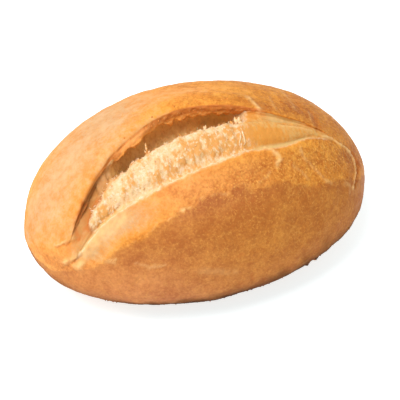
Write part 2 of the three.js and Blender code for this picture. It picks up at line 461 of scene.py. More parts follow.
# Patches of lighter (-) and darker (+) bake: x, degrees round the section, their spreads, amount.
BAKE_PATCHES = (
    (-50.0, 85.0, 20.0, 38.0, -0.94),
    (-25.0, 62.0, 20.0, 30.0, -1.25),
    (-34.0, 132.0, 13.0, 9.0, -1.45),
    (-57.0, 118.0, 12.0, 40.0, -0.68),
    (5.0, 100.0, 30.0, 22.0, -1.00),
    (40.0, 95.0, 14.0, 14.0, 0.42),
    (-40.0, 172.0, 20.0, 18.0, -0.32),
    (0.0, 176.0, 30.0, 16.0, -0.17),
    (0.0, 250.0, 90.0, 60.0, 0.46),
    (12.0, 120.0, 9.5, 8.5, 0.48),
    (36.0, 80.0, 16.0, 18.0, 0.14),
    (52.0, 118.0, 6.0, 16.0, 0.30),
    (-44.5, 149.0, 5.0, 6.0, -1.40),
    (-39.5, 142.0, 5.0, 5.0, -0.60),
    (-52.0, 158.0, 5.0, 12.0, 0.35),
    (24.0, 87.0, 4.0, 5.0, 0.30),
    (9.0, 68.0, 14.0, 8.0, -0.30),
    (44.0, 123.0, 8.0, 10.0, 0.14),
    (50.0, 126.0, 4.0, 14.0, 0.25),
    (31.0, 123.0, 12.0, 9.0, 0.36),
    (34.0, 88.0, 8.0, 8.0, 0.25),
    (18.0, 85.0, 20.0, 7.0, 0.32),
)

# Where the crust is pinker than elsewhere: x, degrees, their spreads, amount.
BLUSH_PATCHES = (
    (-32.0, 174.0, 26.0, 26.0, 0.60),
    (-12.0, 124.0, 26.0, 14.0, 0.62),
    (-54.0, 150.0, 12.0, 22.0, 0.35),
    (0.0, 186.0, 60.0, 16.0, 0.20),
    (59.0, 140.0, 7.0, 50.0, 0.55),
    (-42.0, 90.0, 12.0, 14.0, 0.35),
    (-4.0, 66.0, 14.0, 12.0, 0.40),
)

# How much the crust is baked all over and more beside the lip; the near face is darker by bake and by painted
# shade, and the crust at the shoulder by painted shade.
BAKE_LEVEL = 0.42
BAKE_AND_SHADE_OF_FACE = 0.42
BAKE_BY_LIP = 0.35
SHADE_AT_SHOULDER = 0.28
SHOULDER_STEP = 0.32  # how deep the near face lies behind the crust above it, in millimetres
NEAR_SIDE_END = 200.0  # the angle at which the near side turns under

# Toasted crumb: x, its spread, how far up from the near edge to the ridge, amount.
TOAST_PATCHES = (
    (2.0, 16.0, 0.75, 1.1),
    (-38.5, 5.0, 0.8, 0.6),
    (21.8, 5.4, 0.6, 1.4),
    (-37.5, 1.6, 0.6, 0.8),
)
LOBE_TIP_ZONE = 5.3  # where across the score the crumb's round left end reaches furthest

# Where the crust is blistered and speckled: x, degrees, their spreads, amount.
BLISTER_PATCHES = (
    (44.0, 122.0, 12.0, 14.0, 1.0),
    (22.0, 125.0, 18.0, 10.0, 0.7),
    (34.0, 92.0, 14.0, 14.0, 0.7),
    (0.0, 76.0, 26.0, 9.0, 0.6),
    (0.0, 128.0, 22.0, 8.0, 0.45),
    (10.0, 155.0, 45.0, 24.0, 0.35),
)

MARK_CORE = 0.58  # the share of a mark's width in which it is strong

# Marks on the skin: how pale, how dark, how high, how wide (mm), then the line through (x, degrees). Some
# dark marks are painted shade and some pale ones painted highlights, as noted below.
MARKS = (
    # wrinkles from the near edge down over the right of the near crust; the dark ones are painted shade
    # beside the wrinkles and under the shoulder
    (1.0, 0.0, 0.45, 1.2, (19.0, 113.2), (20.5, 114.5), (21.8, 117.0), (22.3, 119.3), (21.0, 122.4)),
    (0.0, 0.35, -0.15, 1.2, (17.5, 115.5), (19.8, 117.5), (20.2, 121.0)),
    (0.38, 0.0, 0.20, 0.9, (31.0, 114.4), (31.0, 117.8), (31.6, 121.3), (33.0, 124.6), (34.3, 128.9),
     (35.8, 132.4), (37.3, 136.2), (39.4, 139.3)),
    (0.30, 0.0, 0.15, 0.8, (26.5, 124.0), (29.0, 128.5), (30.5, 133.0)),
    (0.0, 0.45, -0.15, 0.5, (36.5, 138.6), (39.7, 139.5), (42.0, 141.0)),
    (0.0, 0.40, -0.20, 0.7, (12.2, 131.3), (14.5, 130.9), (16.8, 128.6)),
    (0.25, 0.0, 0.25, 0.6, (13.0, 129.2), (16.0, 127.6), (17.7, 125.0)),
    (0.0, 0.35, -0.20, 0.7, (25.8, 136.4), (29.1, 138.0), (34.4, 138.4)),
    # the folds round the right tip, with painted shade in the deepest fold and in a broad band beside it
    (0.95, 0.0, 0.50, 1.1, (41.3, 107.0), (43.6, 107.2), (45.6, 108.4), (47.3, 110.4), (49.3, 112.5),
     (51.1, 116.5), (52.4, 121.4), (52.2, 129.3), (51.4, 137.9), (49.9, 143.9), (48.2, 149.5)),
    (0.0, 0.90, -1.1, 1.6, (52.6, 118.5), (54.0, 124.5), (53.6, 131.0), (53.1, 136.6), (51.6, 143.0),
     (49.8, 148.0)),
    (0.0, 0.30, -0.30, 2.6, (54.6, 124.0), (54.2, 131.0), (52.8, 140.0)),
    (0.40, 0.0, 0.20, 1.3, (45.2, 143.0), (47.0, 146.0), (46.6, 151.0)),
    # folds and flakes on the far crust; the wide dark marks are painted shade beside the folds
    (0.0, 0.35, -0.35, 3.0, (37.8, 62.0), (38.0, 72.0), (37.4, 86.0)),
    (0.0, 0.20, -0.25, 2.6, (30.6, 76.0), (30.0, 88.0)),
    (0.0, 0.45, -0.35, 2.4, (42.0, 84.0), (41.4, 99.0)),
    (0.28, 0.0, 0.20, 0.9, (29.4, 76.0), (28.4, 82.0), (27.9, 88.0)),
    (0.25, 0.0, 0.20, 1.0, (35.6, 62.0), (36.0, 72.0), (36.1, 79.0), (35.4, 87.0)),
    (0.28, 0.0, 0.20, 0.9, (40.4, 86.0), (39.8, 94.3), (39.2, 100.1)),
    (0.90, 0.0, 0.50, 1.2, (20.0, 80.2), (21.1, 84.1), (22.4, 88.2)),
    (0.0, 0.40, -0.20, 3.0, (23.2, 84.0), (24.4, 87.6)),
    (0.0, 0.30, -0.20, 2.2, (17.6, 84.6), (19.6, 88.6)),
    (0.0, 0.50, -0.25, 0.8, (33.5, 68.9), (33.7, 69.8)),
    (0.0, 0.30, -0.35, 1.3, (-29.3, 89.0), (-29.0, 91.0)),
    (0.35, 0.0, 0.10, 1.0, (-31.2, 89.5), (-30.6, 92.6)),
    (0.0, 0.28, -0.35, 1.5, (-35.6, 92.0), (-35.2, 94.6)),
    (0.35, 0.0, 0.10, 1.0, (-33.4, 92.0), (-32.8, 95.0)),
    # the cracks of the stretched skin at the right end of the score
    (0.0, 0.60, -0.45, 0.5, (27.3, 99.6), (30.0, 100.8), (34.4, 101.7)),
    (0.0, 0.40, -0.25, 0.5, (36.0, 102.4), (38.0, 102.8), (40.5, 103.3)),
    (0.60, 0.0, 0.20, 0.6, (26.0, 100.6), (29.0, 102.2), (34.0, 103.0), (38.0, 104.2)),
    (0.0, 0.90, -0.60, 0.8, (41.6, 101.9), (41.9, 102.4)),
    # the left end: a flaky crack with painted shade beneath and a painted highlight along its upper edge, the
    # curl at the score's end, its painted shadow, and pale blobs
    (0.0, 0.80, -0.40, 0.9, (-53.6, 142.8), (-51.3, 141.8), (-49.0, 139.8), (-46.9, 138.0), (-45.8, 135.6)),
    (0.95, 0.0, 0.40, 0.8, (-53.4, 141.0), (-51.2, 139.9), (-49.1, 137.8), (-47.2, 136.2)),
    (0.0, 0.20, -0.20, 3.0, (-50.6, 148.0), (-48.6, 144.6)),
    (0.70, 0.0, 0.90, 1.5, (-51.6, 158.4), (-50.7, 156.0), (-48.7, 151.2), (-46.2, 147.2)),
    (0.0, 0.42, -0.45, 1.1, (-51.2, 162.6), (-49.6, 157.6), (-47.8, 152.6), (-46.4, 149.6)),
    (0.90, 0.0, 0.50, 2.2, (-46.6, 155.6), (-48.0, 159.2)),
    (0.0, 0.60, -0.30, 1.1, (-49.6, 163.8), (-49.2, 164.8)),
    (0.70, 0.0, 0.0, 3.4, (-46.6, 150.4), (-44.4, 144.4), (-40.4, 138.8), (-36.4, 134.6), (-31.6, 130.4)),
    (0.60, 0.0, 0.20, 0.6, (-42.4, 149.0), (-40.4, 152.6), (-38.7, 154.2), (-36.6, 154.0)),
    (0.0, 0.30, -0.20, 0.6, (-42.8, 150.4), (-40.8, 154.2), (-38.9, 155.8)),
    # the pillar at the score's left end, the dark creases round it and the flake above it
    (1.0, 0.0, 0.70, 1.6, (-43.6, 122.6), (-43.9, 126.0), (-44.7, 129.6)),
    (0.0, 0.85, -0.20, 1.5, (-42.4, 114.4), (-43.9, 118.4), (-45.5, 123.6), (-46.6, 129.3), (-46.4, 133.6)),
    (0.0, 0.95, -0.25, 1.9, (-37.5, 115.4), (-39.1, 117.4), (-41.5, 121.6), (-43.0, 127.0), (-43.4, 131.6),
     (-42.2, 134.4)),
    (0.80, 0.0, 0.50, 0.8, (-40.8, 113.9), (-38.3, 112.2)),
    (0.0, 0.45, -0.20, 1.2, (-44.8, 135.6), (-45.4, 138.8)),
    # small cracks on the near face
    (0.0, 0.65, -0.25, 0.5, (6.6, 181.1), (6.0, 178.4), (6.3, 175.6)),
    (0.0, 0.55, -0.20, 0.45, (-0.6, 163.4), (1.8, 162.6), (4.1, 161.0)),
    (0.0, 0.50, -0.20, 0.6, (-46.0, 158.0), (-44.6, 160.6), (-43.6, 164.0)),
    (0.0, 0.40, -0.15, 0.5, (-42.0, 163.0), (-40.4, 166.5)),
    (0.38, 0.0, 0.10, 0.8, (-30.5, 157.5), (-27.0, 160.4), (-22.0, 159.2)),
    (0.40, 0.0, 0.10, 0.8, (-43.2, 151.6), (-40.6, 154.6), (-37.0, 156.4)),
    (0.16, 0.0, 0.05, 2.4, (-10.5, 166.0), (-5.5, 168.4), (0.5, 171.6)),
)


def patched(skin, patches):
    """The sum of soft patches over the skin."""
    level = 0.0 * skin.degrees
    for middle, angle, spread, angle_spread, amount in patches:
        off = turned_back(skin.degrees - angle)
        level += amount * gaussian(skin.x, middle, spread)[:, None] * gaussian(off, 0.0, angle_spread)
    return level


def shoulder_line(x):
    """The angle at which the bright top of the near crust turns into its darker face, darker partly by
    painted shade.
    """
    return 131.0 + np.where(x < 6.0, 0.0112, 0.0062) * (x - 6.0) ** 2


def skin_fields(skin):
    """Numbers for each point of the skin that its relief and its material read."""
    x = skin.x[:, None] + 0.0 * skin.degrees
    blotches = layered_noise(skin.points, 4.0, 2, 29)
    fields = score_fields(skin, x, blotches)
    add_toast(skin, x, fields)
    past_shoulder = skin.degrees - shoulder_line(skin.x)[:, None]
    past_shoulder = past_shoulder + 4.0 * layered_noise(skin.points, 9.0, 4, 33)
    add_bake(skin, x, past_shoulder, fields)
    add_foot_bake_and_shade(skin, x, fields)
    add_marks(skin, x, fields)
    flaking = gaussian(past_shoulder, -0.8, 0.6) * skin.patchy * gaussian(x, -14.0, 16.0)
    flaking = flaking * (skin.degrees < NEAR_SIDE_END) * np.clip(0.4 + 1.4 * blotches, 0.0, 0.9)
    fields["pale"] = np.maximum(fields["pale"], flaking)
    return fields


def score_fields(skin, x, blotches):
    """How much each point of the score is crumb, edge, hollow, rim and so on."""
    zone = zone_of(skin)
    torn = smoothstep(skin.opened, 0.02, 0.35)[:, None]
    hollow = skin.hollow[:, None]
    lip = skin.lip[:, None]
    lifted = smoothstep(lip, 0.05, 0.4)
    right = smoothstep(x + 2.5 * blotches, 8.0, 18.5)
    left = 1.0 - smoothstep(x, -29.0, -25.0)
    rounding = np.where(zone < LOBE_TIP_ZONE, 0.28, 0.6) * (zone - LOBE_TIP_ZONE) ** 2
    lobe = smoothstep(x - np.minimum(rounding, 6.0), -43.4, -42.6)
    slanted = smoothstep(x - 0.9 * (zone - RIDGE - 1.0), -35.0, -32.5)

    fields = {"lobe": lobe}
    fields["crumb"] = torn * lobe * window(zone, NEAR_EDGE + 0.22, RIM_FOOT, 0.1)

    ends = np.maximum(0.85 * (1.0 - smoothstep(x, -35.0, -26.0)), right * window(x, 14.0, 33.0, 5.0))
    near_wedge = torn * ends * window(zone, NEAR_EDGE + 0.35, mix(2.8, 3.2, right), 0.3)
    far_wedge = 0.85 * window(x, 26.5, 33.0, 6.0) * window(zone, RIDGE + 1.2, RIM_FOOT + 0.5, 1.0)
    fields["wedge"] = np.maximum(near_wedge, far_wedge)

    fields["edge"] = torn * window(zone, NEAR_EDGE - 0.06, NEAR_EDGE + 0.14, 0.13) * mix(1.0, 0.5, right)
    stretched_to = mix(RIDGE - 0.2, RIM_FOOT, smoothstep(x, 15.0, 20.0))
    fields["stretched"] = right * window(zone, WEDGE - 0.3, stretched_to, 0.3)

    inside = window(zone, RIDGE + 0.7, RIM_FOOT - 0.2, 0.5)
    fields["hollow"] = inside * slanted * (1.0 - smoothstep(x, 12.0, 18.0))
    # painted shade darkening the hollow's deep right end
    fields["umber"] = fields["hollow"] * smoothstep(x + 5.0 * blotches, 2.0, 5.0)
    by_ridge = window(zone, RIDGE + 0.6, RIDGE + 2.6, 1.6)
    fields["ash"] = by_ridge * hollow * (1.0 - smoothstep(x, -6.0, 8.0))

    band = 0.85 * window(zone, RIDGE + 0.9, CREASE, 0.4) * left * torn * (1.0 - slanted)
    below_lobe = 0.55 * window(zone, NEAR_EDGE + 0.3, CREASE, 0.2) * (1.0 - lobe) * torn
    fields["band"] = np.maximum(band, below_lobe)

    fields["rim"] = window(zone, RIM_FOOT - 0.2, CREASE + 0.3, 0.2) * lifted * smoothstep(x, -38.0, -30.0)
    # lighter tan at the rim's left end, partly painted light where the rim is lit
    fields["tan"] = 0.95 * gaussian(x, -21.0, 8.5)
    fields["flap"] = window(zone, RIM_FOOT - 0.3, RIM_FOOT + 0.5, 0.35) * np.maximum(hollow, 0.5 * lip)

    crease = window(zone, CREASE - 0.1, CREASE + 0.4, 0.3) * lifted
    crease = crease * mix(0.7, 1.0, smoothstep(x, -22.0, -8.0)) * np.clip(1.0 + 0.5 * blotches, 0.4, 1.0)
    # painted shadow along the foot of the ridge at the score's left end, laid into the creases
    shadow_at_ridge_foot = window(zone, RIDGE + 0.35, RIDGE + 0.8, 0.3) * left * torn * (x > -45.0)
    fields["crease"] = np.maximum(crease, 0.35 * shadow_at_ridge_foot)
    return fields


def add_toast(skin, x, fields):
    """Adds where the torn crumb has taken colour, in patches and in streaks."""
    across = np.clip((zone_of(skin) - NEAR_EDGE) / (RIDGE - NEAR_EDGE), 0.0, 1.5)
    toast = 0.0 * x
    for middle, spread, upper, amount in TOAST_PATCHES:
        toast += amount * gaussian(x, middle, spread) * window(across, 0.3, upper, 0.2)
    fields["streaks"] = layered_noise(skin.points * (1.5, 0.6, 0.6), 3.6, 3, 31)
    fields["toast"] = np.clip(toast + 1.1 * fields["streaks"], 0.0, 1.0)


def add_bake(skin, x, past_shoulder, fields):
    """Adds how the crust is baked, blistered and tinged, the painted shade on its near face and below its
    shoulder, and the small step below its shoulder.
    """
    near_side = skin.degrees < NEAR_SIDE_END
    below_line = np.clip(past_shoulder, 0.0, None)
    face = smoothstep(past_shoulder, -1.0, 2.0) * (1.0 - smoothstep(skin.degrees, 190.0, 235.0))
    fields["face"] = face
    by_lip = gaussian(zone_of(skin), FAR_EDGE + 1.2, 1.6) * skin.lip[:, None] * smoothstep(x, -34.0, -10.0)
    # painted shade cast by the shoulder's swelling, from just above its line down the near face
    shade_at_shoulder = smoothstep(past_shoulder, -4.0, 2.0) * np.exp(-below_line / 9.0)
    shade_at_shoulder = shade_at_shoulder * gaussian(x, -4.0, 36.0) * near_side
    # the near face is darkened by bake and by painted shade
    bake = BAKE_LEVEL + BAKE_AND_SHADE_OF_FACE * face + patched(skin, BAKE_PATCHES)
    fields["bake"] = bake + BAKE_BY_LIP * by_lip + SHADE_AT_SHOULDER * shade_at_shoulder
    fields["blister"] = patched(skin, BLISTER_PATCHES)
    fields["blush"] = patched(skin, BLUSH_PATCHES)
    uneven = np.clip(0.5 + layered_noise(skin.points, 7.0, 2, 37), 0.0, 1.0)
    step = SHOULDER_STEP * uneven * np.exp(-below_line / 6.0) * smoothstep(past_shoulder, -1.0, 1.0)
    fields["step"] = -step * (1.0 - fields["crumb"]) * gaussian(x, 0.0, 44.0) * near_side


def add_foot_bake_and_shade(skin, x, fields):
    """Adds the dark foot of the crust, partly a browner baked base and partly painted contact shade, which
    starts higher towards the right and fades under the base.
    """
    below = 90.0 - np.abs(skin.degrees - 270.0) + 5.0 * layered_noise(skin.points, 6.0, 4, 35)
    start = 6.0 - 10.0 * smoothstep(x, -25.0, 0.0) - 8.0 * smoothstep(x, 5.0, 40.0)
    fading = (1.0 - 0.5 * smoothstep(below, 25.0, 45.0)) * mix(0.35, 1.0, smoothstep(x, -48.0, -26.0))
    fields["foot"] = smoothstep(below, start, 22.0) * fading


def add_marks(skin, x, fields):
    """Adds the marks drawn on the skin: where they are pale, where dark, and how high they stand."""
    for name in ("pale", "dark", "marks"):
        fields[name] = 0.0 * x
    for pale, dark, rise, width, *line in MARKS:
        near = gaussian(skin.distance(line), 0.0, MARK_CORE * width) * skin.patchy
        fields["pale"] = np.maximum(fields["pale"], pale * near)
        fields["dark"] = np.maximum(fields["dark"], dark * near)
        fields["marks"] = fields["marks"] + rise * near


def zone_of(skin):
    """The zone of each point of the skin's grid."""
    return skin.zone[None, :] + 0.0 * skin.degrees


def relief(skin, fields):
    """How far each point of the skin stands out from its outline, in millimetres."""
    points = skin.points
    crust = 0.42 * layered_noise(points, 17.0, 2, 41) + 0.16 * layered_noise(points, 5.0, 3, 43)
    crust = crust + (0.04 + 0.13 * fields["blister"]) * layered_noise(points, 1.3, 2, 46)
    torn = 0.30 * layered_noise(points, 2.8, 2, 51) + 0.40 * np.abs(layered_noise(points, 1.2, 2, 54)) - 0.1
    tight = 0.12 * layered_noise(points * (2.2, 0.6, 0.6), 2.4, 3, 56)
    calm = np.clip(fields["stretched"] + 0.8 * fields["wedge"], 0.0, 1.0)
    above = smoothstep(points[:, :, 2], 0.0, 9.0)
    out = above * (1.0 - fields["crumb"]) * crust + fields["crumb"] * mix(torn, tight, calm)
    out = out + fields["hollow"] * 0.8 * layered_noise(points, 3.0, 3, 61)
    out = out + fields["crumb"] * (1.0 - calm) * 0.45 * fields["streaks"]
    out = out + fields["rim"] * 0.32 * layered_noise(points, 1.5, 2, 58)
    drop = window(zone_of(skin), WEDGE + 1.5, RIM_FOOT, 1.5) * skin.opened[:, None]
    out = out - 1.1 * (1.0 - fields["lobe"]) * drop
    return out + fields["step"] + fields["marks"]


def shaped_skin(sizes):
    """The finished skin, its relief laid on and brought into its box, with the numbers at its points."""
    skin = Skin(Loaf(sizes))
    fields = skin_fields(skin)
    skin.points = skin.points + skin.normals() * relief(skin, fields)[:, :, None]
    low, high = skin.points.min((0, 1)), skin.points.max((0, 1))
    box_low, box_high = np.array(ROLL_LOW) / MM, np.array(ROLL_HIGH) / MM
    skin.points = box_low + (skin.points - low) / (high - low) * (box_high - box_low)
    return skin, fields


# What the material reads of the skin's numbers.
SKIN_FIELDS = ("crumb", "wedge", "edge", "stretched", "hollow", "umber", "ash", "band", "rim", "tan",
               "flap", "crease", "toast", "face", "bake", "blister", "blush", "foot", "pale", "dark")


def build_skin(skin, fields):
    """The roll's mesh in metres, with its attributes."""
    shape = bmesh.new()
    bmesh.ops.create_uvsphere(shape, u_segments=skin.columns, v_segments=STATIONS, radius=1.0)
    mesh = bpy.data.meshes.new("bread_roll")
    shape.to_mesh(mesh)
    shape.free()

    ball = np.empty(len(mesh.vertices) * 3)
    mesh.vertices.foreach_get("co", ball)
    ball = ball.reshape(-1, 3)
    ring = np.rint(np.arccos(np.clip(-ball[:, 2], -1, 1)) / math.pi * STATIONS).astype(int)
    turn = np.arctan2(ball[:, 1], ball[:, 0]) / (2 * math.pi)
    column = -np.rint(turn * skin.columns).astype(int) % skin.columns

    mesh.vertices.foreach_set("co", (skin.points[ring, column] * MM).ravel())
    for name in SKIN_FIELDS:
        layer = mesh.attributes.new(name, "FLOAT", "POINT")
        layer.data.foreach_set("value", fields[name][ring, column].astype(np.float32))
    mesh.polygons.foreach_set("use_smooth", np.ones(len(mesh.polygons), bool))
    mesh.update()
    return mesh


# ---------------------------------------------------------------------------- materials


def skin_patterns(shader):
    """The noises and cracks that the colours and the bumps of the skin share."""
    cracks = shader.cracks(8 * MM, 3 * MM, 4 * MM, 0.045)
    scratches = shader.cracks(3.4 * MM, 1.6 * MM, 3 * MM, 0.06)
    return {
        "mottle": shader.noise(7 * MM, 3.0, 0.6) - 0.5,
        "patch": shader.noise(2.3 * MM, 3.0, 0.6) - 0.5,
        "grain": shader.noise(0.8 * MM, 2.0, 0.6),
        "speck": shader.noise(0.75 * MM, 2.0, 0.6, at=shader.stretched((1.07, 0.93, 1.11))),
        "fibre": shader.noise(0.9 * MM, 3.0, 0.65, at=shader.stretched((1.0, 0.5, 0.5))),
        "fluff_and_highlight": shader.noise(1.7 * MM, 3.0, 0.6),
        "vein": cracks * shader.noise(9 * MM, 1.0).step(0.42, 0.6),
        "scratch": scratches * shader.noise(4 * MM, 2.0).step(0.45, 0.62),
    }


def baked_colour(shader, field, tint, pattern):
    """The crust: golden to brown or pale by its bake, mottled, specked and veined, dark at the foot by
    browner bake and painted contact shade.
    """
    calm = field["calm"]
    mottle, patch, grain = pattern["mottle"], pattern["patch"], pattern["grain"] - 0.5
    bake = field["bake"] + (0.7 * mottle + 0.9 * patch + 1.1 * grain) * calm
    crust = shader.blend(bake.clamped(), tint["golden"], tint["brown"])
    crust = shader.blend(field["blush"].clamped(), crust, tint["blush"], "MULTIPLY")
    crust = shader.blend((bake * -1.0).clamped(), crust, tint["pale"])
    shade = (0.35 + 1.5 * mottle + 1.2 * patch + 0.4 * grain) * calm
    crust = shader.blend(shade.clamped(), crust, tint["shade"], "MULTIPLY")
    flecked = 0.13 - 0.08 * field["face"] + 0.55 * field["blister"]
    light_specks = pattern["speck"].step(0.58, 0.66) * flecked
    dark_specks = (1.0 - pattern["speck"].step(0.32, 0.40)) * flecked * 0.7
    crust = shader.blend(light_specks.clamped(), crust, tint["blister"])
    crust = shader.blend(dark_specks.clamped(), crust, tint["speck"])
    veined = pattern["vein"] * (0.05 + 0.3 * field["blister"])
    crust = shader.blend(veined.clamped(), crust, tint["blister"])
    crust = shader.blend(pattern["scratch"] * 0.18, crust, tint["blister"])
    crust = shader.blend(field["pale"], crust, tint["vein"])
    # painted contact shade, with browner bake, darkens the crust just above the base
    return shader.blend(field["foot"] * 0.97, crust, tint["foot"])


def torn_colour(shader, field, tint, pattern):
    """The torn crumb with its fluff, lit by painted highlights, its toast and its pits in painted shade, the
    stretched skin, and the hollow's inside with painted shade in its hole.
    """
    fibre, fluff_and_highlight = pattern["fibre"], pattern["fluff_and_highlight"]
    toast = (field["toast"] * 1.6 * fibre.step(0.34, 0.60)).clamped()
    # whiter fluff on the raised crumb is partly painted highlight; the pits, low in the bump, get painted
    # shade
    crumb = shader.blend(fluff_and_highlight.step(0.48, 0.64) * 0.6, tint["crumb"], tint["fluff_and_highlight"])
    crumb = shader.blend(toast * 0.85, crumb, tint["toasted"])
    crumb = shader.blend((1.0 - pattern["speck"].step(0.36, 0.45)) * 0.5, crumb, tint["pit"])
    tanned = (fibre.step(0.35, 0.65) * 0.7 + field["toast"]).clamped()
    stretched = shader.blend(tanned, tint["stretched"], tint["toasted"])
    crumb = shader.blend(field["stretched"], crumb, stretched)
    inside = shader.blend(field["ash"], tint["hollow"], tint["ash"])
    inside = shader.blend(fluff_and_highlight.step(0.52, 0.64) * 0.4, inside, tint["pit"])
    inside = shader.blend((1.0 - fibre.step(0.36, 0.48)) * 0.3, inside, tint["crease"])
    inside = shader.blend(field["umber"], inside, tint["umber"])
    return shader.blend(field["hollow"], crumb, inside)


def rim_colour(shader, field, tint, pattern):
    """The browned rim, tan at its left end with painted light where it is lit, flaky along its lower edge,
    and with pale specks painted as glints.
    """
    rim = shader.blend(field["tan"], tint["rim"], tint["tan"])
    rim = shader.blend((field["flap"] * 0.75 + pattern["patch"] * 1.6).clamped(), rim, tint["flake"])
    # pale specks on the rim are painted glints of sheen
    return shader.blend(pattern["speck"].step(0.56, 0.64) * 0.3, rim, tint["vein"])


def crust_material(colours):
    """Baked crust with its fine blisters, and the torn crumb, rim and stretched skin in the score."""
    shader = Shader("Baked wheat crust and torn crumb")
    field = {name: shader.attribute(name) for name in SKIN_FIELDS}
    field["calm"] = 1.0 - 0.45 * field["face"]
    tint = {name: colour(getattr(colours, name)) for name in colours.__annotations__}
    pattern = skin_patterns(shader)
    crust = baked_colour(shader, field, tint, pattern)
    surface = shader.blend(field["crumb"], crust, torn_colour(shader, field, tint, pattern))
    surface = shader.blend(field["band"], surface, tint["band"])
    surface = shader.blend(field["rim"], surface, rim_colour(shader, field, tint, pattern))
    surface = shader.blend(field["wedge"], surface, tint["wedge"])
    broken = (0.3 + 0.8 * pattern["fluff_and_highlight"].step(0.42, 0.56)).clamped()
    surface = shader.blend(field["edge"] * broken, surface, tint["edge"])
    # the crease lines, with the painted shadow along the ridge's foot
    surface = shader.blend(field["crease"] * 0.8, surface, tint["crease"])
    # the dark marks: darker cracks, largely painted shade in and beside folds, cracks and curls
    surface = shader.blend(field["dark"], surface, tint["crease"])
    in_score = (field["crumb"] + field["rim"]).clamped()
    surface = shader.blend(field["pale"] * in_score, surface, tint["vein"])

    patch, speck = pattern["patch"], pattern["speck"]
    fine = pattern["grain"] * 0.8 + patch * 0.9 + speck * (0.3 + field["blister"]) + pattern["vein"] * 0.3
    fine = fine * field["calm"]
    open_crumb = pattern["fluff_and_highlight"] * 2.6 + speck * 0.9
    height = fine + (open_crumb - fine) * (field["crumb"] - 0.6 * field["wedge"]).clamped()
    normal = shader.bump(height, 0.20 * MM, 0.8)
    roughness = 0.58 + 0.3 * field["crumb"] + 0.2 * patch + 0.3 * field["foot"]
    constants = {"Specular IOR Level": 0.08, "Subsurface Weight": 0.06, "Subsurface Scale": 1.2 * MM}
    return shader.finish(constants, **{"Base Color": surface, "Roughness": roughness, "Normal": normal})


def shred_material(colours):
    """Shreds of crumb, whiter in patches of fluff and painted highlight, and toasted here and there."""
    shader = Shader("Shreds of crumb")
    whiter_patches = shader.noise(1.5 * MM, 2.0).step(0.48, 0.66)
    toasted = shader.noise(3.5 * MM, 2.0).step(0.46, 0.60) * 0.8
    tone = shader.blend(whiter_patches, colour(colours.crumb), colour(colours.fluff_and_highlight))
    tone = shader.blend(toasted, tone, colour(colours.toasted))
    constants = {"Roughness": 0.85, "Specular IOR Level": 0.2, "Subsurface Weight": 0.1,
                 "Subsurface Scale": 0.6 * MM}
    return shader.finish(constants, **{"Base Color": tone})


def flake_material(colours, name, dark, light):
    """Brittle bits of crust, between two of the panel's colours."""
    shader = Shader(name)
    share = shader.noise(1.4 * MM, 2.0).step(0.40, 0.60)
    tone = shader.blend(share, colour(getattr(colours, dark)), colour(getattr(colours, light)))
    return shader.finish({"Roughness": 0.6, "Specular IOR Level": 0.25}, **{"Base Color": tone})


FLOOR_GLOW = 0.735
FLOOR_GLOW_COLOUR = (0.935, 0.985, 0.99)


def floor_material(colours):
    """A matt pale floor that glows a little, as a lit studio table does."""
    shader = Shader("Pale studio floor")
    fleck = shader.noise(30 * MM, 2.0)
    tone = shader.blend(fleck, colour(colours.floor), colour([0.98 * c for c in colours.floor]))
    constants = {"Roughness": 0.9, "Specular IOR Level": 0.0, "Emission Strength": FLOOR_GLOW,
                 "Emission Color": colour(FLOOR_GLOW_COLOUR)}
    return shader.finish(constants, **{"Base Color": tone})


# ---------------------------------------------------------------------------- panel values


def size_property(name, description, millimetres):
    """A panel size, kept in metres."""
    return bpy.props.FloatProperty(
        name=name, description=description, default=millimetres * MM, unit="LENGTH")


class BreadRollSizes(bpy.types.PropertyGroup):
    """Sizes of the roll and of its score."""

    length: size_property("Length", "From tip to tip", 120.0)
    near_half_width: size_property("Near half width", "From the crest to the near side", 39.6)
    far_half_width: size_property("Far half width", "From the crest to the far side", 44.7)
    height: size_property("Height", "From the base to the crest", 55.5)
    widest_height: size_property("Widest height", "Where the sides stand out furthest", 16.6)
    hollow_depth: size_property("Hollow depth", "Of the hollow under the far lip", 14.0)
    groove_depth: size_property("Groove depth", "Of the score where it isn't hollow", 2.2)
    lip_thickness: size_property("Lip thickness", "Of the lifted far crust", 3.3)
    lip_rise: size_property("Lip rise", "Of the far crust above the loaf", 1.3)
    undercut: size_property("Undercut", "How far the hollow reaches under the lip", 4.5)
    score_start: size_property("Score start", "Where the score begins, along X", -50.5)
    score_end: size_property("Score end", "Where the score ends, along X", 46.0)


def colour_property(name, description, default):
    """A panel colour in linear light."""
    return bpy.props.FloatVectorProperty(
        name=name, description=description, default=default, subtype="COLOR", size=3, min=0.0, max=3.0)


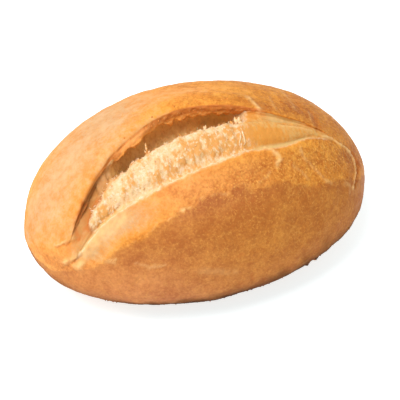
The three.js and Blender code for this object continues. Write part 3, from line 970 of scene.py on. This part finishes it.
class BreadRollColours(bpy.types.PropertyGroup):
    """Colours of the crust, the crumb and the floor."""

    pale: colour_property("Pale crust", "Lightly baked crust", (0.72, 0.425, 0.208))
    golden: colour_property("Golden crust", "Crust of the top", (0.87, 0.370, 0.053))
    brown: colour_property("Brown crust", "The darkest crust", (0.45, 0.150, 0.029))
    # The foot is near-black brown: a browner baked base with painted contact shade laid into it
    foot: colour_property("Foot", "Crust just above the base", (0.050, 0.014, 0.001))
    blush: colour_property("Blush", "Laid over the pinker crust", (1.02, 1.00, 2.50))
    blister: colour_property("Blisters", "Fine light blisters on the crust", (0.90, 0.45, 0.095))
    shade: colour_property("Mottling", "Laid over the crust in patches", (0.84, 0.62, 0.40))
    speck: colour_property("Specks", "Fine dark specks on the crust", (0.42, 0.12, 0.018))
    vein: colour_property("Veins", "Pale wrinkles in the crust", (0.92, 0.57, 0.23))
    edge: colour_property("Edge", "The crust's pale torn edge", (0.88, 0.60, 0.33))
    # The creases' colour also serves for painted shade at the ridge's foot and in the dark marks of folds and
    # cracks
    crease: colour_property("Creases", "Lines along the rim and round folds", (0.56, 0.165, 0.034))
    band: colour_property("Left band", "Tanned skin at the score's left end", (0.52, 0.225, 0.062))
    rim: colour_property("Rim", "The browned rim of the lip", (0.61, 0.188, 0.036))
    # The left rim is lighter partly by its tan and partly by painted light
    tan: colour_property("Left rim", "The rim's lighter left end", (1.00, 0.43, 0.13))
    flake: colour_property("Flakes", "Light flakes on the rim", (0.89, 0.35, 0.072))
    crumb: colour_property("Crumb", "Fresh torn crumb", (0.82, 0.565, 0.305))
    # The fluff is partly the crumb's whitest fibres and partly painted highlight on its raised bits
    fluff_and_highlight: colour_property("Fluff", "The whitest bits of crumb", (0.92, 0.76, 0.56))
    toasted: colour_property("Toasted crumb", "Crumb that has taken colour", (0.72, 0.30, 0.058))
    # The pits' colour is painted shade in the crumb's small hollows
    pit: colour_property("Pits", "Small pits in the crumb", (0.66, 0.36, 0.11))
    wedge: colour_property("Wedge", "Smooth skin behind the near edge", (0.70, 0.46, 0.18))
    stretched: colour_property("Stretched skin", "Smooth skin at the score's right end", (0.74, 0.41, 0.13))
    hollow: colour_property("Hollow", "Crumb deep under the lip", (0.84, 0.46, 0.150))
    ash: colour_property("Hollow wall", "The greyish wall by the ridge", (0.87, 0.64, 0.31))
    # Painted shade: the darker colour of the deep hole at the hollow's right end
    umber: colour_property("Hole", "The dark hole at the hollow's right end", (0.70, 0.41, 0.14))
    floor: colour_property("Floor", "The pale floor", (0.60, 0.64, 0.65))


# ---------------------------------------------------------------------------- operators


def on_skin(points):
    """The nearest places on the finished skin to points in millimetres, and how it faces there."""
    roll = bpy.data.objects["bread_roll"]
    skin = BVHTree.FromObject(roll, bpy.context.evaluated_depsgraph_get())
    return [skin.find_nearest(Vector(point) * MM)[:2] for point in points]


def skin_places(loaf, spots):
    """Places on the skin in metres, and how it faces there; each spot is a station and a zone."""
    sections = loaf.section(np.array([x for x, zone in spots]))[:, 1:]
    points = []
    for (x, zone), rows in zip(spots, sections):
        k = int(zone)
        points.append((x, *mix(rows[k], rows[k + 1], zone - k)))
    return on_skin(points)


OFF_STRANDS = (0.31, 0.52, 0.79)  # a direction that no strand follows


def strand_mesh(name, strands, sides=5, rings=6):
    """A mesh of strands that taper to both ends, each a path of points in metres and a thickness."""
    ball = bmesh.new()
    bmesh.ops.create_uvsphere(ball, u_segments=sides, v_segments=rings, radius=1.0)
    unit = np.array([vertex.co for vertex in ball.verts])
    mesh = bpy.data.meshes.new(name)
    ball.to_mesh(mesh)
    ball.free()
    shape = bmesh.new()
    for strand in strands:
        shape.from_mesh(mesh)
    shape.to_mesh(mesh)
    shape.free()

    places = []
    for path, thickness in strands:
        path = np.array(path)
        along = np.arccos(np.clip(unit[:, 2], -1.0, 1.0)) / math.pi * (len(path) - 1)
        k = np.minimum(along.astype(int), len(path) - 2)
        ahead = path[k + 1] - path[k]
        ahead /= np.linalg.norm(ahead, axis=1)[:, None]
        side = np.cross(ahead, OFF_STRANDS)
        side /= np.linalg.norm(side, axis=1)[:, None]
        out = side * unit[:, :1] + np.cross(ahead, side) * unit[:, 1:2]
        places.append(mix(path[k], path[k + 1], (along - k)[:, None]) + thickness * out)
    mesh.vertices.foreach_set("co", np.concatenate(places).ravel())
    mesh.polygons.foreach_set("use_smooth", np.ones(len(mesh.polygons), bool))
    return mesh


def strand_path(place, facing, lean, length, thickness):
    """A path from just under the skin that leaves it and bends over to a lean."""
    start = place - (0.3 * MM + 0.7 * thickness) * facing
    lean = Vector(lean).normalized()
    middle = start + (0.7 * facing + lean).normalized() * 0.5 * length
    return [start, middle, middle + lean * 0.5 * length]


# Tufts of crumb that stand on the ridge: x, zone, lean, length and thickness in mm.
TUFTS = (
    (-19.1, 5.9, (0.05, 0.7, 0.8), 4.2, 0.42),
    (-19.7, 5.8, (-0.30, 0.6, 0.6), 2.0, 0.34),
    (-18.4, 5.7, (0.30, 0.5, 0.6), 1.6, 0.36),
    (-6.5, 6.0, (-0.15, 0.6, 0.8), 2.0, 0.26),
    (-5.9, 6.0, (0.20, 0.6, 0.6), 1.3, 0.26),
    (-25.5, 6.0, (0.10, 0.5, 0.8), 1.4, 0.34),
    (-33.0, 6.0, (-0.10, 0.5, 0.8), 1.1, 0.30),
    (1.9, 6.1, (-0.20, 0.6, 0.7), 1.6, 0.42),
    (2.7, 6.1, (0.10, 0.7, 0.7), 2.0, 0.50),
    (3.4, 6.2, (0.30, 0.6, 0.5), 1.4, 0.44),
    (12.0, 6.0, (-0.30, 0.8, 0.6), 2.4, 0.70),
    (12.7, 6.1, (-0.10, 0.9, 0.7), 3.8, 0.85),
    (13.3, 6.0, (0.15, 0.9, 0.6), 3.4, 0.85),
    (13.9, 6.2, (0.30, 0.8, 0.5), 2.4, 0.70),
    (12.9, 5.7, (0.00, 0.5, 0.6), 2.0, 0.90),
)

# Pale strands that lie over the crumb's right part: thickness in mm, then points of x and zone.
STRANDS = (
    (0.30, (12.0, 5.1), (12.6, 4.4), (12.7, 3.7), (12.1, 3.0), (11.2, 2.3)),
    (0.24, (11.7, 4.2), (11.3, 3.7), (10.8, 3.3), (9.6, 2.9)),
)


def standing(loaf, wanted):
    """Strands that stand on the skin: x, zone, lean, length and thickness of each."""
    places = skin_places(loaf, [each[:2] for each in wanted])
    return [(strand_path(*place, lean, length * MM, thickness * MM), thickness * MM)
            for place, (x, zone, lean, length, thickness) in zip(places, wanted)]


RIDGE_SHREDS = 190
FACE_SHREDS = 300


def build_shreds(loaf):
    """Shreds of crumb that bristle along the ridge and curl on the torn face."""
    rng = random.Random(7)
    wanted = []
    for k in range(RIDGE_SHREDS):
        lean = (rng.gauss(0.0, 0.5), rng.uniform(0.3, 0.9), rng.uniform(0.2, 0.8))
        size = rng.uniform(0.5, 1.3), rng.uniform(0.08, 0.20)
        wanted.append((rng.uniform(-37.0, 16.0), rng.uniform(5.6, 6.6), lean, *size))
    for k in range(FACE_SHREDS):
        lean = (rng.gauss(0.0, 1.0), rng.gauss(0.0, 0.5), rng.gauss(-0.3, 0.5))
        size = rng.uniform(0.8, 1.9), rng.uniform(0.09, 0.17)
        wanted.append((rng.uniform(-41.0, 9.0), rng.uniform(2.8, 5.8), lean, *size))
    return strand_mesh("crumb_shreds", standing(loaf, wanted))


def build_laid_strands(loaf):
    """Strands that lie along the skin."""
    strands = []
    for thickness, *spots in STRANDS:
        places = skin_places(loaf, spots)
        path = [place + 0.5 * thickness * MM * facing for place, facing in places]
        strands.append((path, thickness * MM))
    return strand_mesh("laid_strands", strands, rings=14)


# Bits of crust that stand out on the rim and at the foot: x, zone or degrees, length and thickness in mm.
RIM_LUMPS = ((-14.8, 12.9, 1.3, 0.45), (-13.6, 12.6, 1.2, 0.42), (-12.4, 12.3, 1.2, 0.40),
             (-31.0, 13.0, 1.4, 0.40), (-28.5, 13.2, 1.2, 0.40), (1.0, 12.8, 1.2, 0.36))
FOOT_LUMPS = ((28.3, 200.5, 0.8, 0.80), (29.2, 201.0, 0.5, 0.60), (31.6, 197.5, 0.8, 0.95),
              (32.5, 198.0, 0.5, 0.70), (44.8, 186.0, 0.6, 0.50))
RIM_FLAKES = 170
SMALL_FOOT_LUMPS = 60


def build_flakes(loaf):
    """Flakes and lumps of crust along the rim."""
    rng = random.Random(11)
    wanted = list(RIM_LUMPS)
    for k in range(RIM_FLAKES):
        x, zone = rng.uniform(-38.0, 17.0), rng.gauss(12.6, 0.5)
        wanted.append((x, zone, rng.uniform(0.4, 1.1), rng.uniform(0.12, 0.30)))
    strands = []
    places = skin_places(loaf, [each[:2] for each in wanted])
    for (place, facing), (x, zone, length, thickness) in zip(places, wanted):
        lean = Vector((1.0, rng.gauss(0.0, 0.6), rng.gauss(0.0, 0.5))).normalized() * 0.5 * length * MM
        path = [place - lean, place + 0.3 * thickness * MM * facing, place + lean]
        strands.append((path, thickness * MM))
    return strand_mesh("rim_flakes", strands)


def build_foot_lumps(loaf):
    """Lumps of crust that stick out where the near side turns under, five of them larger."""
    rng = random.Random(13)
    wanted = list(FOOT_LUMPS)
    for k in range(SMALL_FOOT_LUMPS):
        x = rng.uniform(-40.0, 46.0)
        degrees = 204.0 - 0.13 * x + rng.gauss(0.0, 1.5)
        wanted.append((x, degrees, rng.uniform(0.15, 0.35), rng.uniform(0.2, 0.4)))
    places = on_skin([(x, *np.ravel(loaf.point(x, degrees))) for x, degrees, length, thickness in wanted])
    strands = []
    for (place, facing), (x, degrees, length, thickness) in zip(places, wanted):
        strands.append(([place - 0.5 * MM * facing, place + length * MM * facing], thickness * MM))
    return strand_mesh("foot_lumps", strands, sides=7)


def add_piece(name, mesh, material):
    """Puts a finished mesh in the scene as a piece that rides on the roll's body."""
    piece = bpy.data.objects.new(name, mesh)
    bpy.context.scene.collection.objects.link(piece)
    mesh.materials.append(material)
    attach(piece, "root")
    return piece


class BREAD_OT_roll(bpy.types.Operator):
    """Bake the roll: its crust, torn score and hollow lip in one skin"""

    bl_idname = "bread.roll"
    bl_label = "Roll"

    def execute(self, context):
        mesh = build_skin(*shaped_skin(context.scene.bread_roll_sizes))
        material = crust_material(context.scene.bread_roll_colours)
        piece = add_piece("bread_roll", mesh, material)
        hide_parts("roll")
        return {"FINISHED"}


class BREAD_OT_shreds(bpy.types.Operator):
    """Add the shreds, strands and tufts of torn crumb; the roll comes first"""

    bl_idname = "bread.shreds"
    bl_label = "Crumb shreds"

    def execute(self, context):
        loaf = Loaf(context.scene.bread_roll_sizes)
        colours = context.scene.bread_roll_colours
        crumb = shred_material(colours)
        add_piece("crumb_shreds", build_shreds(loaf), crumb)
        add_piece("laid_strands", build_laid_strands(loaf), crumb)
        tufts = strand_mesh("crumb_tufts", standing(loaf, TUFTS))
        add_piece("crumb_tufts", tufts, flake_material(colours, "Toasted tufts", "toasted", "edge"))
        return {"FINISHED"}


class BREAD_OT_flakes(bpy.types.Operator):
    """Add the flakes along the rim and the lumps at the foot; the roll comes first"""

    bl_idname = "bread.flakes"
    bl_label = "Crust flakes"

    def execute(self, context):
        loaf = Loaf(context.scene.bread_roll_sizes)
        colours = context.scene.bread_roll_colours
        flakes = flake_material(colours, "Rim flakes", "rim", "flake")
        add_piece("rim_flakes", build_flakes(loaf), flakes)
        # the foot lumps take the foot's colour, so they carry its painted contact shade too
        lumps = flake_material(colours, "Foot lumps", "foot", "brown")
        add_piece("foot_lumps", build_foot_lumps(loaf), lumps)
        return {"FINISHED"}


class BREAD_OT_stage(bpy.types.Operator):
    """Set the pale floor, the soft light and the camera"""

    bl_idname = "bread.stage"
    bl_label = "Stage"

    def execute(self, context):
        set_floor(context.scene.bread_roll_colours)
        set_light(context.scene)
        set_camera(context.scene)
        return {"FINISHED"}


FLOOR_REACH = 3.0
CAMERA_AZIMUTH = -18.0
CAMERA_ELEVATION = 45.0
CAMERA_DISTANCE = 0.560
CAMERA_LENS = 148.6
FRAME_OFFSET_RIGHT = 0.98 * MM  # the picture's middle, from the middle of the loaf
FRAME_OFFSET_DOWN = 6.58 * MM
LOAF_MIDDLE = Vector((0.0, -2.55 * MM, 28.05 * MM))
SURROUND_STRENGTH = 0.55
KEY_DIRECTION = Vector((-0.40, -0.05, 0.92))
KEY_DISTANCE = 0.8
KEY_SIZE = 0.5
KEY_POWER = 6.0


def set_floor(colours):
    """A large flat floor under the roll."""
    shape = bmesh.new()
    bmesh.ops.create_grid(shape, x_segments=1, y_segments=1, size=FLOOR_REACH)
    mesh = bpy.data.meshes.new("floor")
    shape.to_mesh(mesh)
    shape.free()
    mesh.materials.append(floor_material(colours))
    floor = bpy.data.objects.new("floor", mesh)
    bpy.context.scene.collection.objects.link(floor)


def view_axes():
    """The camera's back, right and up directions."""
    azimuth, elevation = math.radians(CAMERA_AZIMUTH), math.radians(CAMERA_ELEVATION)
    back = Vector((math.sin(azimuth) * math.cos(elevation),
                   -math.cos(azimuth) * math.cos(elevation), math.sin(elevation)))
    right = Vector((math.cos(azimuth), math.sin(azimuth), 0.0))
    return back, right, back.cross(right)


def aimed(eye, target):
    """The placing of a light or camera at eye that looks at target."""
    turn = (target - eye).to_track_quat("-Z", "Y")
    return Matrix.Translation(eye) @ turn.to_matrix().to_4x4()


def set_camera(scene):
    """The camera, at the height and side from which the photograph was taken."""
    back, right, up = view_axes()
    eye = LOAF_MIDDLE + back * CAMERA_DISTANCE
    target = LOAF_MIDDLE + right * FRAME_OFFSET_RIGHT - up * FRAME_OFFSET_DOWN
    data = bpy.data.cameras.new("camera")
    data.lens = CAMERA_LENS
    data.sensor_width = 36.0
    data.clip_start = 0.01
    camera = bpy.data.objects.new("camera", data)
    camera.matrix_world = aimed(eye, target)
    scene.collection.objects.link(camera)
    scene.camera = camera


def set_light(scene):
    """An even white surround and one soft key from the upper left, a little behind the roll."""
    world = bpy.data.worlds.new("surround")
    world.use_nodes = True
    background = world.node_tree.nodes["Background"]
    background.inputs["Color"].default_value = (1.0, 1.0, 1.0, 1.0)
    background.inputs["Strength"].default_value = SURROUND_STRENGTH
    scene.world = world

    data = bpy.data.lights.new("key", "AREA")
    data.shape = "SQUARE"
    data.size = KEY_SIZE
    data.energy = KEY_POWER
    key = bpy.data.objects.new("key", data)
    key.matrix_world = aimed(LOAF_MIDDLE + KEY_DIRECTION.normalized() * KEY_DISTANCE, LOAF_MIDDLE)
    scene.collection.objects.link(key)
    scene.view_settings.view_transform = "Standard"
    scene.view_settings.look = "None"


class BREAD_PT_panel(bpy.types.Panel):
    """The roll's sizes and colours, and a button for each piece"""

    bl_idname = "BREAD_PT_panel"
    bl_label = "Bread Roll"
    bl_space_type = "VIEW_3D"
    bl_region_type = "UI"
    bl_category = "Bread Roll"

    def draw(self, context):
        for group in (context.scene.bread_roll_sizes, context.scene.bread_roll_colours):
            box = self.layout.box()
            for name in group.__annotations__:
                box.prop(group, name)
        for operator in OPERATORS:
            self.layout.operator(operator.bl_idname)


OPERATORS = (BREAD_OT_roll, BREAD_OT_shreds, BREAD_OT_flakes, BREAD_OT_stage)
CLASSES = (BreadRollSizes, BreadRollColours, *OPERATORS, BREAD_PT_panel)


def register():
    for each in CLASSES:
        bpy.utils.register_class(each)
    bpy.types.Scene.bread_roll_sizes = bpy.props.PointerProperty(type=BreadRollSizes)
    bpy.types.Scene.bread_roll_colours = bpy.props.PointerProperty(type=BreadRollColours)


def unregister():
    del bpy.types.Scene.bread_roll_colours
    del bpy.types.Scene.bread_roll_sizes
    for each in reversed(CLASSES):
        bpy.utils.unregister_class(each)


def main():
    register()
    bpy.ops.bread.roll()
    bpy.ops.bread.shreds()
    bpy.ops.bread.flakes()
    bpy.ops.bread.stage()


if __name__ == "__main__":
    main()
